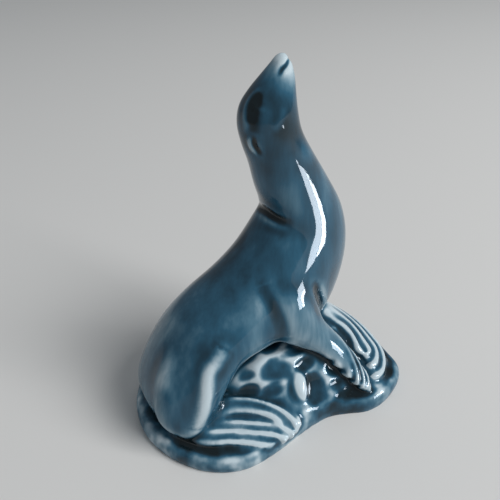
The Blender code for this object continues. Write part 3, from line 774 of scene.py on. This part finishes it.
# Gloss: least roughness, the haze over it, the strength of the clear reflection, and the
# faint ripple of the glaze with its height in metres
LEAST_ROUGH = 0.03
HAZE = 0.04
HAZE_SCALE = 300
GLOSS = 0.36
RIPPLE = 0.12
RIPPLE_SCALE = 110
RIPPLE_HEIGHT = 0.0006


def blue_glaze():
    """Deep blue glaze: pale where it runs thin over edges, near black where it pools."""
    net = Net("blue_glaze")
    depth = PLAIN
    for name, edge, change in LAYERS:
        proud = net.math("TANH", net.math("MULTIPLY", net.layer(name), 1 / edge))
        proud = net.math("MAXIMUM", proud, net.math("MULTIPLY", proud, POOL_SHARE))
        depth = net.math("MULTIPLY_ADD", proud, change, depth)
    for *kind, change in CLOUDS:
        cloud = net.math("SUBTRACT", net.noise(*kind), 0.5)
        depth = net.math("MULTIPLY_ADD", cloud, change, depth)
    # One of these levels pales the nose tip: partly thin glaze, partly a painted highlight
    for level in LEVELS:
        depth = net.math("ADD", depth, net.level_tone(*level))
    spots = net.math("SUBTRACT", net.noise(SPOT_SCALE, detail=2, shift=1.7), 0.5)
    depth = net.math("MULTIPLY_ADD", spots, net.level_tone(*RIM_SPOTS), depth)
    # The deep layer darkens the eyes and paints shade along the fold behind the near thigh
    depth = net.math("MULTIPLY_ADD", net.layer("deep"), EYE_GLAZE_AND_SHADE_CHANGE, depth)
    depth = net.math("MULTIPLY_ADD", net.layer("thin"), THIN_CHANGE, depth)
    net.feed(net.shader.inputs["Base Color"], net.ramp(depth, GLAZE))
    rough = net.math("MULTIPLY_ADD", net.noise(HAZE_SCALE, detail=2), HAZE, LEAST_ROUGH)
    net.feed(net.shader.inputs["Roughness"], rough)
    net.feed(net.shader.inputs["Specular IOR Level"], GLOSS)
    bump = net.tree.nodes.new("ShaderNodeBump")
    net.feed(bump.inputs["Height"], net.noise(RIPPLE_SCALE, detail=2))
    net.feed(bump.inputs["Strength"], RIPPLE)
    net.feed(bump.inputs["Distance"], RIPPLE_HEIGHT)
    net.feed(net.shader.inputs["Normal"], bump.outputs["Normal"])
    return net.material


def casting():
    """The figurine in fine grain; it stands for the solid of the frame."""
    mesh = footed(fine_mesh())
    low, high = (np.array(corner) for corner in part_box("seal_figurine"))
    points = read(mesh.vertices, "co", 3)
    share = (high - low) / (points.max(0) - points.min(0))
    points = low + (points - points.min(0)) * share
    mesh.vertices.foreach_set("co", points.ravel())
    mesh.update()
    mesh.materials.append(blue_glaze())
    piece = bpy.data.objects.new("seal_glazed", mesh)
    bpy.context.scene.collection.objects.link(piece)
    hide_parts("seal_figurine")
    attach(piece, "root")


# The floor: half its width in metres, and its colour
FLOOR_HALF = 4
FLOOR_COLOUR = (0.72, 0.715, 0.70)


def floor():
    """A wide pale matt floor under the figurine."""
    bm = bmesh.new()
    bmesh.ops.create_grid(bm, x_segments=1, y_segments=1, size=FLOOR_HALF)
    mesh = bpy.data.meshes.new("floor")
    bm.to_mesh(mesh)
    bm.free()
    net = Net("floor")
    net.feed(net.shader.inputs["Base Color"], (*FLOOR_COLOUR, 1))
    net.feed(net.shader.inputs["Roughness"], 0.9)
    net.feed(net.shader.inputs["Specular IOR Level"], 0)
    mesh.materials.append(net.material)
    plane = bpy.data.objects.new("floor", mesh)
    bpy.context.scene.collection.objects.link(plane)


def facing(place, target):
    """A place and turn in which -Z looks at the target and +Y stays up."""
    back = (Vector(place) - Vector(target)).normalized()
    return Matrix.Translation(place) @ back.to_track_quat("Z", "Y").to_matrix().to_4x4()


def lamp(name, place, target, wide, high, watts, tint=(1, 1, 1)):
    """A rectangular lamp that the camera doesn't see."""
    light = bpy.data.lights.new(name, "AREA")
    light.shape = "RECTANGLE"
    light.size = wide
    light.size_y = high
    light.energy = watts
    light.color = tint
    holder = bpy.data.objects.new(name, light)
    bpy.context.scene.collection.objects.link(holder)
    holder.matrix_world = facing(place, target)
    holder.visible_camera = False
    return holder


# Light, in metres and watts: the soft colour all round, the fill lamp, and the two panes
# of the low window, each with its place on the floor plan, width and strength
AROUND = (0.23, 0.245, 0.26)
FILL = ((0.9, -1.3, 1.5), (0, 0, 0.05), 1.2, 1.2, 40)
PANES = [("left", 0.132, -0.165, 0.046, 0.16), ("right", 0.162, -0.135, 0.034, 0.2)]
PANE_MIDDLE = 0.037
PANE_HEIGHT = 0.059
PANE_TINT = (0.8, 0.9, 1)
PANE_TARGET = (0.01, -0.015, PANE_MIDDLE)


def studio():
    """Plain soft light all round, and a window on the right that only shows in the gloss."""
    world = bpy.data.worlds.new("studio")
    bpy.context.scene.world = world
    world.use_nodes = True
    world.node_tree.nodes["Background"].inputs["Color"].default_value = (*AROUND, 1)
    lamp("fill", *FILL).visible_glossy = False
    for name, x, y, wide, watts in PANES:
        place = (x, y, PANE_MIDDLE)
        sizes = (wide, PANE_HEIGHT)
        pane = lamp("window_" + name, place, PANE_TARGET, *sizes, watts, PANE_TINT)
        pane.visible_diffuse = False


# Camera: place in metres, turn from +Y towards +X in degrees, downward slope of its line
# of sight, and the width of the picture and length of the lens in millimetres
CAMERA_PLACE = (-0.1073, -0.1728, 0.196)
CAMERA_YAW = 30
CAMERA_SLOPE = 370 / 600
PICTURE_WIDTH = 36
LENS = 43.2


def camera():
    """Looks down at the near side of the figurine from in front of its rump."""
    data = bpy.data.cameras.new("view")
    data.sensor_width = PICTURE_WIDTH
    data.lens = LENS
    data.clip_start = 0.01
    eye = bpy.data.objects.new("view", data)
    bpy.context.scene.collection.objects.link(eye)
    yaw = math.radians(CAMERA_YAW)
    pitch = math.atan(CAMERA_SLOPE)
    level = math.cos(pitch)
    right = Vector((math.cos(yaw), -math.sin(yaw), 0))
    ahead = Vector((math.sin(yaw) * level, math.cos(yaw) * level, -math.sin(pitch)))
    up = right.cross(ahead)
    turn = Matrix((right, up, -ahead)).transposed().to_4x4()
    eye.matrix_world = Matrix.Translation(CAMERA_PLACE) @ turn
    bpy.context.scene.camera = eye


def main():
    """The figurine, the floor it stands on, the light and the view."""
    casting()
    floor()
    studio()
    camera()
    bpy.context.scene.view_settings.view_transform = "Standard"


main()
